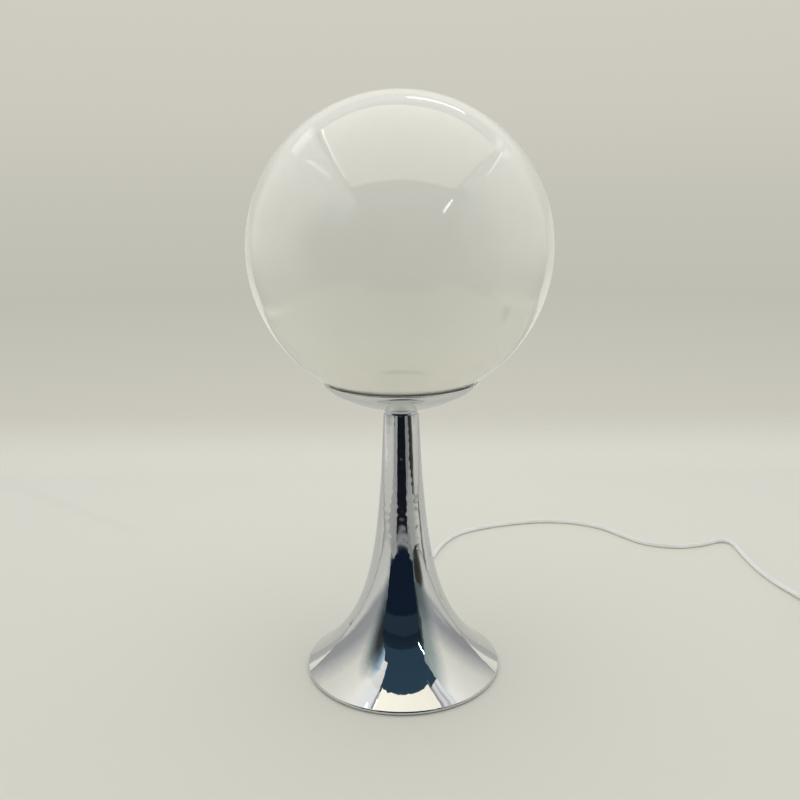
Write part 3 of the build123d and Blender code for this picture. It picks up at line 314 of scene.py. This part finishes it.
# each finish is (material, the CAD nodes that have it)
finishes = {
    "chrome": (chrome("chrome"), ["dish"]),
    "spun_chrome": (chrome("spun_chrome", spinning), ["trumpet_stem"]),
    "opal_glass": (opal_glass(), ["globe"]),
    "seat_rubber": (plastic("seat_rubber", (0.72, 0.72, 0.69), (0.64, 0.64, 0.6), 0.5),
                    ["globe_gasket"]),
    "spring_steel": (metal("spring_steel", (0.5, 0.52, 0.56), (0.36, 0.38, 0.42), 0.3),
                     ["spring_spider"]),
    "zinc_steel": (metal("zinc_steel", (0.66, 0.67, 0.69), (0.5, 0.52, 0.56), 0.32),
                   ["lower_washer", "lower_nut", "threaded_tube", "upper_washer", "upper_nut",
                    "clamp_screws", "switch_screws"]),
    "cast_iron": (cast_iron(), ["ballast"]),
    "felt": (felt(), ["felt_pad"]),
    "holder_plastic": (plastic("holder_plastic", (0.72, 0.71, 0.68), (0.66, 0.65, 0.62), 0.35),
                       ["lampholder_cap", "lampholder_barrel"]),
    "ceramic": (ceramic(), ["lampholder_insert"]),
    "brass": (metal("brass", (0.82, 0.62, 0.28), (0.66, 0.46, 0.18), 0.3),
              ["terminal_screws", "screw_shell", "centre_contact", "switch_contacts"]),
    "bulb_glass": (frosted_glass(), ["bulb_glass"]),
    "cap_metal": (metal("cap_metal", (0.78, 0.78, 0.79), (0.62, 0.62, 0.64), 0.28),
                  ["bulb_cap", "bulb_contact", "plug_pins"]),
    "white_pvc": (white_pvc(), ["inner_cord", "strain_relief", "cord_bush"]),
    "white_plastic": (plastic("white_plastic", (0.8, 0.8, 0.78), (0.76, 0.76, 0.74), 0.35),
                      ["cord_clamp", "bush_nut", "switch_base", "switch_cover", "switch_rocker",
                       "plug_body", "plug_pin_sleeves"]),
    "lead_insulation": (plastic("lead_insulation", (0.2, 0.28, 0.5), (0.14, 0.2, 0.4), 0.4),
                        ["inner_leads"]),
    "tie_plastic": (plastic("tie_plastic", (0.75, 0.75, 0.74), (0.7, 0.7, 0.69), 0.4),
                    ["coil_tie"]),
}


def finish_piece(piece, finish):
    """Give a piece its material."""
    material, _ = finishes[finish]
    piece.data.materials.clear()
    piece.data.materials.append(material)


for finish, (_, members) in finishes.items():
    for name in members:
        finish_piece(nodes[name], finish)

# ---------------------------------------------------------------- mains lead
# the route's points are in millimetres, as its sizes are
cord_radius = 2.6
exit_height = 15.2
on_table = cord_radius              # middle of the lead where it lies on the table
relief_tip = box_mm("strain_relief")[1][1]
switch_low, switch_high = box_mm("switch_base")
switch_x = (switch_low[0] + switch_high[0]) / 2
switch_y = (switch_low[1] + switch_high[1]) / 2
switch_in, switch_out = switch_high[1], switch_low[1]
parting = switch_high[2]            # between the switch's base and its cover
cord_route = [
    (0, relief_tip, exit_height), (0, relief_tip + 14, exit_height),
    (1, relief_tip + 30, exit_height - 4), (5, relief_tip + 47, on_table + 2),
    (12, 177, on_table), (23, 200, on_table), (36, 228, on_table), (46, 262, on_table),
    (67, 298, on_table), (98, 319, on_table), (141, 334, on_table), (181, 342, on_table),
    (222, 338, on_table), (258, 318, on_table), (276, 290, on_table), (297, 262, on_table),
    (334, 251, on_table), (361, 257, on_table), (376, 263.5, on_table), (388.5, 269.5, on_table),
    (395.5, 270.5, on_table), (401.3, 267.2, on_table), (404.3, 260.6, on_table),
    (404.6, 247, on_table), (403.4, 222, on_table), (403, 188, on_table), (408, 153, on_table),
    (417, 121, on_table + 0.6), (switch_x - 0.5, switch_in + 14, parting - 0.3),
    (switch_x, switch_in, parting), (switch_x, switch_y, parting)]

# the spare length: two layers of half turns that spiral in, climb and spiral out again
coil_outer = 34.5
coil_half_turns = 4
coil_pitch = 5.7
coil_low = 3.55
coil_high = coil_low + coil_pitch
switch_to_coil = 34
coil_start = switch_out - switch_to_coil
points_in_half_turn = 8
point_angle = pi / points_in_half_turn
# the spline runs inside its control points, so they lie further out by this factor
bulge = 8 / (6 + 2 * cos(point_angle))
radii_in = [coil_outer - coil_pitch / 2 * turn for turn in range(coil_half_turns)]
coil_radii = radii_in + [radii_in[-1] - coil_pitch / 2] + radii_in[::-1]

cord_route += [(switch_x, switch_out, parting), (switch_x, switch_out - 6, parting),
               (switch_x, switch_out - 17, coil_low)]
place_x = switch_x
heading = -1                        # -1 while a half turn goes towards -Y, +1 on the way back
for turn, radius in enumerate(coil_radii):
    middle_x = place_x - heading * radius
    for point in range(points_in_half_turn):
        angle = (point + 0.5) * point_angle
        if turn == coil_half_turns:
            height = coil_low + coil_pitch * angle / pi
        else:
            height = coil_low if turn < coil_half_turns else coil_high
        cord_route.append((middle_x + heading * radius * bulge * cos(angle),
                           coil_start + heading * radius * bulge * sin(angle), height))
    place_x = place_x - 2 * heading * radius
    heading = -heading

coil_end = switch_x + 2 * coil_outer
plug_low, plug_high = box_mm("plug_body")
plug_x = (plug_low[0] + plug_high[0]) / 2
plug_middle = plug_high[2] / 2
tail_tip = plug_low[1]
cord_route += [(coil_end, coil_start + 8, coil_high), (coil_end, coil_start + 20, coil_high),
               (coil_end + 0.3, coil_start + 36, plug_middle - 1),
               (plug_x - 0.4, tail_tip - 24, plug_middle - 2.4),
               (plug_x, tail_tip - 10, plug_middle), (plug_x, tail_tip, plug_middle)]


def cord_curve(name, route, radius):
    """A round lead along one smooth spline with the route's points."""
    data = bpy.data.curves.new(name, "CURVE")
    data.dimensions = "3D"
    data.bevel_depth = radius * MM
    data.bevel_resolution = 5
    data.resolution_u = 8
    spline = data.splines.new("NURBS")
    spline.points.add(len(route) - 1)
    for point, (x, y, z) in zip(spline.points, route):
        point.co = (x * MM, y * MM, z * MM, 1)
    spline.order_u = 3
    spline.use_endpoint_u = True
    return add_object(name, data)


mains_lead = cord_curve("mains_lead", cord_route, cord_radius)
finish_piece(mains_lead, "white_pvc")
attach(mains_lead, "root")
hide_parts("cord_run", "cord_lead", "cord_coil", "plug_lead")

# ---------------------------------------------------------------- seat of the globe
# these sizes are in millimetres
globe_centre = 372.45
globe_radius = 125.0
skirt_from, skirt_to = 259.6, 263.2
skirt_wall = 1.2
skirt_clearance = 0.12
skirt_steps = 6
skirt_sides = 160


def add_skirt(seat):
    """Add to a seat the soft skirt that closes the gap between the glass and the dish's edge."""
    edited = bmesh.new()
    edited.from_mesh(seat.data)
    profile = []
    for step in range(skirt_steps + 1):
        height = skirt_from + (skirt_to - skirt_from) * step / skirt_steps
        glass = sqrt(globe_radius ** 2 - (globe_centre - height) ** 2)
        profile.append((glass + skirt_clearance, height))
    profile += [(radius + skirt_wall, height) for radius, height in reversed(profile)]
    rings = []
    for side in range(skirt_sides):
        angle = 2 * pi * side / skirt_sides
        rings.append([edited.verts.new((radius * MM * cos(angle), radius * MM * sin(angle),
                                        height * MM)) for radius, height in profile])
    for ring, following in zip(rings, rings[1:] + rings[:1]):
        for point in range(len(profile)):
            face = edited.faces.new((ring[point], following[point], following[point - 1],
                                     ring[point - 1]))
            face.smooth = True
    bmesh.ops.recalc_face_normals(edited, faces=edited.faces)
    edited.to_mesh(seat.data)
    edited.free()


globe_seat = nodes["globe_gasket"].copy()
globe_seat.data = nodes["globe_gasket"].data.copy()
globe_seat.name = "globe_seat"
bpy.context.scene.collection.objects.link(globe_seat)
add_skirt(globe_seat)
finish_piece(globe_seat, "seat_rubber")
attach(globe_seat, "root")
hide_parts("globe_gasket")

# ---------------------------------------------------------------- stage and light
# The lamp stands in a light tent: a pale floor, white side walls and a lit roof, open and dark
# in front. The camera sees the floor, and the world as the wall behind it. The other pieces
# only show in the chrome and the glass.
tent_left, tent_right = -0.63, 0.70
tent_front, tent_back = -0.62, 0.55
roof_height = 0.93
roof_front = -0.86                  # at the left, where the roof reaches past the panel
floor_front = -0.785                # front edge of the tent's floor, in reflections
floor_back = 0.80                   # where the floor gives way to the wall, behind the lamp
flap_front = -1.15                  # grey flaps lie between here and the floor's front edge
panel_height = 0.88                 # lit panel in the roof
panel_left, panel_right = -0.37, 0.44
panel_front, panel_back = -0.47, 0.24
edge_height = panel_height - 0.002
just_above = 0.001                  # height of what lies on the floor
room_distance = -3.0                # what the open front shows
room_side = 6.0
room_low, room_high = -2.5, 8.5
far = 9                             # a reach that leaves an axis out of a distance


def grey(level, warmth=0.0):
    """A near-neutral colour; warmth takes blue away."""
    return (level, level * (1 - 0.2 * warmth), level * (1 - warmth))


def flat(left, right, front, back, height):
    """Corners of a level rectangle."""
    return [(left, front, height), (right, front, height), (right, back, height),
            (left, back, height)]


def upright(left, right, low, high, y):
    """Corners of a rectangle that faces the front."""
    return [(left, y, low), (right, y, low), (right, y, high), (left, y, high)]


def by_value(graph, value, stops):
    """Colour by a value; each stop is (value, (r, g, b))."""
    low, high = stops[0][0], stops[-1][0]
    share = graph.add("MapRange")
    share.inputs["From Min"].default_value = low
    share.inputs["From Max"].default_value = high
    graph.link(value, share.inputs["Value"])
    shares = [((place - low) / (high - low), colour) for place, colour in stops]
    return graph.ramp(share.outputs["Result"], *shares)


def along(graph, axis, *stops):
    """Colour that changes along an axis of the graph's coordinates."""
    return by_value(graph, graph.axis(axis), stops)


def around(graph, centre, reach, *stops):
    """Colour by the distance from a centre, measured in reaches along each axis."""
    offset = graph.add("VectorMath", operation="SUBTRACT")
    graph.link(graph.coordinates, offset.inputs[0])
    offset.inputs[1].default_value = centre
    scaled = graph.add("VectorMath", operation="DIVIDE")
    graph.link(offset.outputs["Vector"], scaled.inputs[0])
    scaled.inputs[1].default_value = reach
    distance = graph.add("VectorMath", operation="LENGTH")
    graph.link(scaled.outputs["Vector"], distance.inputs[0])
    return by_value(graph, distance.outputs["Value"], stops)


def add_stage(name, corners, material):
    """A flat stage piece between its corners."""
    mesh = bpy.data.meshes.new(name)
    mesh.from_pydata([Vector(corner) for corner in corners], [], [range(len(corners))])
    piece = add_object(name, mesh)
    piece.data.materials.append(material)
    return piece


def add_glow(name, corners, *factors, colour=None, level=1.0):
    """A shining stage piece that only shows in gloss and glass.

    It has one colour, or the product of its factors, each (maker, *arguments).
    """
    graph = Graph(name)
    for maker, *arguments in factors:
        found = maker(graph, *arguments)
        colour = found if colour is None else graph.mix(1, colour, found, blend="MULTIPLY")
    emission = graph.add("Emission")
    emission.inputs["Strength"].default_value = level
    graph.feed(emission.inputs["Color"], colour)
    graph.link(emission.outputs["Emission"], graph.output.inputs["Surface"])
    piece = add_stage(name, corners, graph.material)
    piece.visible_camera = piece.visible_diffuse = piece.visible_shadow = False


def add_strip(name, start, end, width, level, colour=(1, 0.98, 0.92)):
    """A narrow shining strip from start to end, level sideways, or upright where it rises."""
    start, end = Vector(start), Vector(end)
    up = Vector((0, 0, 1)) if start.z == end.z else Vector((0, 1, 0))
    side = (end - start).cross(up).normalized() * width / 2
    add_glow(name, [start - side, end - side, end + side, start + side],
             colour=colour, level=level)


# side walls, with painted light and shade: lighter towards the roof, and darker and cooler
# towards the open front
cool = (0.42, 0.55, 0.7)
wall_rise = (along, "Z", (0.0, grey(0.3, 0.1)), (0.012, grey(0.6, 0.1)), (0.07, grey(0.66, 0.1)),
             (0.11, grey(0.34)), (0.2, grey(0.36)), (0.28, grey(0.53, 0.05)),
             (0.4, grey(0.8, 0.15)), (0.62, grey(0.9, 0.13)), (0.8, grey(1.0, 0.1)),
             (roof_height, grey(1.0, 0.1)))
left_dark = (around, (0, -0.62, 0.42), (far, 0.39, 0.32),
             (0, grey(0.03)), (0.45, (0.06, 0.07, 0.08)), (0.75, (0.24, 0.29, 0.31)),
             (1.0, (0.6, 0.66, 0.68)), (1.3, grey(1.0)))
left_front = (around, (0, -0.68, 0.74), (far, 0.34, 0.24), (0, cool), (0.5, cool),
              (1.0, grey(1.0)))
right_front = (along, "Y", (tent_front - 0.1, (0.3, 0.36, 0.38)), (-0.45, (0.42, 0.5, 0.52)),
               (-0.3, (0.72, 0.76, 0.77)), (-0.18, grey(1.0)), (tent_back, grey(0.92)))
right_dark = (around, (0, -0.55, 0.05), (far, 0.33, 0.065),
              (0, (0.12, 0.1, 0.09)), (0.7, (0.2, 0.17, 0.15)), (1.0, grey(1.0)))
right_streak = (around, (0, 0.05, 0.125), (far, 0.26, 0.03), (0, grey(1.5)), (1.0, grey(1.0)))
right_far = (around, (0, -0.9, 0.5), (far, 0.16, 0.42),
             (0, grey(0.2)), (0.8, grey(0.25)), (1.1, grey(1.0)))
slant_low, slant_high = 0.4, 0.8    # the walls' front edges slant between these heights
for name, x, low_front, top_front, factors in (
        ("tent_left", tent_left, tent_front, roof_front, (wall_rise, left_dark, left_front)),
        ("tent_right", tent_right, tent_front - 0.28, roof_front + 0.06,
         (wall_rise, right_front, right_dark, right_streak, right_far))):
    add_glow(name, [(x, low_front, 0), (x, tent_back, 0), (x, tent_back, roof_height),
                    (x, top_front, roof_height), (x, top_front, slant_high),
                    (x, low_front, slant_low)], *factors)

# roof, with its lit panel
panel_side = panel_left - 0.05
panel_step = panel_front + 0.03
add_glow("tent_roof", flat(tent_left, tent_right, panel_step, tent_back, roof_height),
         (along, "X", (tent_left, grey(0.95)), (-0.45, grey(0.95)), (-0.4, grey(0.5)),
          (0.5, grey(0.45)), (0.56, grey(0.85)), (0.61, grey(0.5)), (0.64, grey(0.9)),
          (tent_right, grey(0.8))),
         (along, "Y", (panel_front, grey(1.0)), (0.27, grey(1.0)), (0.33, grey(1.5)),
          (tent_back, grey(1.5))))
add_glow("roof_left_front",
         [(tent_left, roof_front, roof_height), (-0.5, roof_front, roof_height),
          (panel_side, panel_front - 0.02, roof_height), (panel_side, panel_step, roof_height),
          (tent_left, panel_step, roof_height)],
         (along, "X", (tent_left, (0.9, 0.89, 0.83)), (panel_left, (0.8, 0.79, 0.74))))
add_glow("roof_panel",
         [(panel_left, panel_front, panel_height), (panel_right, panel_front, panel_height),
          (panel_right + 0.06, panel_back, panel_height), (0.04, panel_back - 0.05, panel_height),
          (panel_left + 0.04, panel_back, panel_height)],
         (along, "X", (panel_left, (1.24, 1.18, 1.0)), (panel_right, (1.12, 1.06, 0.9))))

# back of the tent: shaded corners low down, and the wall's glow above them
corner_tone = (along, "Z", (0.0, grey(0.5, 0.08)), (0.03, grey(0.46, 0.08)),
               (0.1, grey(0.5, 0.08)))
for side, inner, outer in (("left", -0.22, tent_left), ("right", 0.25, tent_right)):
    add_glow("back_corner_" + side, upright(outer, inner, 0, 0.1, tent_back + 0.01), corner_tone)
add_glow("back_glow", upright(tent_left, tent_right, 0.12, 0.45, tent_back + 0.02),
         (along, "Z", (0.12, (0.86, 0.85, 0.76)), (0.22, (0.8, 0.79, 0.7)),
          (0.3, (0.69, 0.68, 0.61)), (0.45, (0.67, 0.66, 0.59))))

# bright tubes, a painted highlight low on the left wall, and the dark seams and frame between the
# lit cloths
add_strip("panel_edge", (panel_left + 0.005, panel_front + 0.12, edge_height),
          (panel_left + 0.04, panel_back, edge_height), 0.012, 2.6)
add_strip("left_tube", (-0.46, -0.26, edge_height), (-0.52, 0.06, edge_height), 0.035, 2.0)
add_strip("right_tube", (0.6, -0.1, edge_height), (0.56, 0.3, edge_height), 0.018, 2.2)
add_strip("back_light", (0.03, 0.36, edge_height), (0.26, 0.40, edge_height), 0.05, 2.1)
# painted highlight: a bright strip low along the left wall
add_strip("left_wall_highlight", (tent_left + 0.01, 0.0, 0.06), (tent_left + 0.01, 0.42, 0.06), 0.05, 0.85,
          (1, 1, 0.98))
seam_level = 0.2
seam_width, frame_width = 0.012, 0.010
for side, x in (("left", tent_left + 0.005), ("right", tent_right - 0.005)):
    add_strip(side + "_seam", (x, tent_back - 0.004, 0), (x, tent_back - 0.004, 0.5),
              seam_width, seam_level)
add_strip("panel_frame_left", (panel_left - 0.035, panel_front - 0.05, edge_height),
          (panel_left + 0.01, panel_back, edge_height), frame_width, seam_level)
add_strip("panel_frame_right", (panel_right + 0.02, panel_front - 0.04, edge_height),
          (panel_right + 0.08, panel_back - 0.04, edge_height), frame_width, seam_level)

# what lies on the floor, or beyond its front edge
for side, inner, outer in (("left", -0.36, -0.75), ("right", 0.33, 0.8)):
    add_glow("front_flap_" + side,
             [(inner, floor_front, just_above), (outer, floor_front, just_above),
              (outer, flap_front, just_above), (inner * 1.45, flap_front, just_above)],
             (along, "X", (-0.37, (0.36, 0.37, 0.35)), (0.33, (0.24, 0.27, 0.26))))
add_glow("dark_patch", flat(0.53, tent_right, -0.06, 0.05, just_above),
         (along, "X", (0.5, (0.3, 0.28, 0.25)), (0.7, (0.2, 0.18, 0.16))))
# painted shade: a dark line on the floor from the back left corner, for the shade along a fold
add_glow("floor_fold_shade", [(tent_left, tent_back - 0.02, just_above),
                        (tent_left + 0.015, tent_back, just_above),
                        (-0.33, 0.32, just_above), (-0.34, 0.31, just_above)],
         colour=grey(0.3, 0.1))

# the dark room in front of the tent, from its floor up
room_edge = (0.30, 0.31, 0.30)
room_shade = (0.02, 0.034, 0.05)
add_glow("room", upright(-room_side, room_side, room_low, room_high, room_distance),
         (along, "Z", (room_low, (0.006, 0.007, 0.012)), (-0.33, (0.008, 0.009, 0.014)),
          (-0.30, room_edge), (-0.24, room_edge), (-0.22, (0.007, 0.013, 0.026)),
          (0.95, (0.007, 0.014, 0.028)), (1.0, room_shade), (1.6, room_shade),
          (1.7, (0.01, 0.02, 0.034)), (2.25, (0.014, 0.028, 0.042)),
          (2.3, (0.026, 0.055, 0.086)), (room_high, (0.03, 0.062, 0.096))))
add_strip("room_lamp", (1.9, room_distance + 0.05, 2.15), (2.75, room_distance + 0.05, 3.1),
          0.09, 8.0, (0.85, 1, 1))


# ---------------------------------------------------------------- floor and wall
def in_view(graph):
    """1 for what the camera sees directly, in gloss or through glass, and 0 for soft light."""
    path = graph.add("LightPath")
    return graph.maths("MAXIMUM", path.outputs["Is Camera Ray"],
                       graph.maths("MAXIMUM", path.outputs["Is Glossy Ray"],
                                   path.outputs["Is Transmission Ray"]))


paper = (0.70, 0.69, 0.62)
far_paper = (0.765, 0.76, 0.68)
paper_glow = (0.95, 0.94, 0.83)     # the paper's colour for the soft light it throws back, lighter than the paper is: painted extra light on the lamp from below
front_blur, back_blur = 0.01, 0.17
floor_side = 4.0
floor_end = 1.0

floor = Graph("stage_floor").set(roughness=0.75)
floor_seen = along(floor, "Y", (-0.8, paper), (-0.2, paper), (0.2, (0.73, 0.725, 0.65)),
                   (0.6, far_paper), (1.0, far_paper))
# painted shade in reflections: the floor as the chrome and glass show it is darker towards the
# open front and a little darker just behind the lamp
floor_in_gloss = along(floor, "Y", (-0.8, (0.4, 0.405, 0.38)), (-0.5, (0.44, 0.445, 0.41)),
                       (-0.35, (0.54, 0.54, 0.49)), (-0.2, paper), (0.03, paper),
                       (0.14, (0.61, 0.605, 0.56)), (0.45, (0.59, 0.585, 0.54)),
                       (0.62, far_paper))
in_gloss = floor.add("LightPath").outputs["Is Glossy Ray"]
floor_colour = floor.mix(in_view(floor), paper_glow, floor_seen)
floor.link(floor.mix(in_gloss, floor_colour, floor_in_gloss), "Base Color")
distance_back = floor.axis("Y")
front_edge = floor.step_between(distance_back, floor_front - front_blur,
                                floor_front + front_blur, 0, 1)
back_edge = floor.step_between(distance_back, floor_back - back_blur,
                               floor_back + back_blur, 1, 0)
front_cut = floor.maths("MAXIMUM", front_edge, floor.maths("SUBTRACT", 1.0, in_gloss))
floor.link(floor.maths("MULTIPLY", back_edge, front_cut), "Alpha")
add_stage("stage_floor", flat(-floor_side, floor_side, -floor_side, floor_end, 0), floor.material)


class WorldGraph(Graph):
    """The world's node tree, with the same short calls; its coordinates are directions."""

    def __init__(self):
        self.world = bpy.data.worlds.new("world")
        self.world.use_nodes = True
        self.tree = self.world.node_tree
        self.shader = self.tree.nodes["Background"]
        self.coordinates = self.tree.nodes.new("ShaderNodeTexCoord").outputs["Generated"]


surround = WorldGraph()
bpy.context.scene.world = surround.world
wall_seen = along(surround, "Z", (-0.24, (0.60, 0.585, 0.515)), (-0.1, (0.52, 0.515, 0.45)),
                  (0.0, (0.55, 0.54, 0.475)), (0.1, (0.60, 0.585, 0.52)),
                  (0.25, (0.635, 0.615, 0.55)), (0.4, (0.85, 0.84, 0.76)),
                  (1.0, (0.95, 0.94, 0.86)))
wall_light = along(surround, "Y", (-1.0, grey(0.46)), (-0.78, grey(0.5)), (-0.5, grey(0.9)),
                   (1.0, grey(0.9)))
surround.link(surround.mix(in_view(surround), wall_light, wall_seen), "Color")

# one soft lamp just under the lit panel, which shows in no reflection
light_place = (0.035, -0.11, panel_height - 0.01)
light_data = bpy.data.lights.new("roof_light", "AREA")
light_data.shape = "RECTANGLE"
light_data.size, light_data.size_y = panel_right - panel_left, panel_back - panel_front
light_data.energy = 1.0
light_data.color = (1, 0.98, 0.93)
roof_light = add_object("roof_light", light_data)
roof_light.location = light_place
roof_light.visible_glossy = roof_light.visible_camera = False
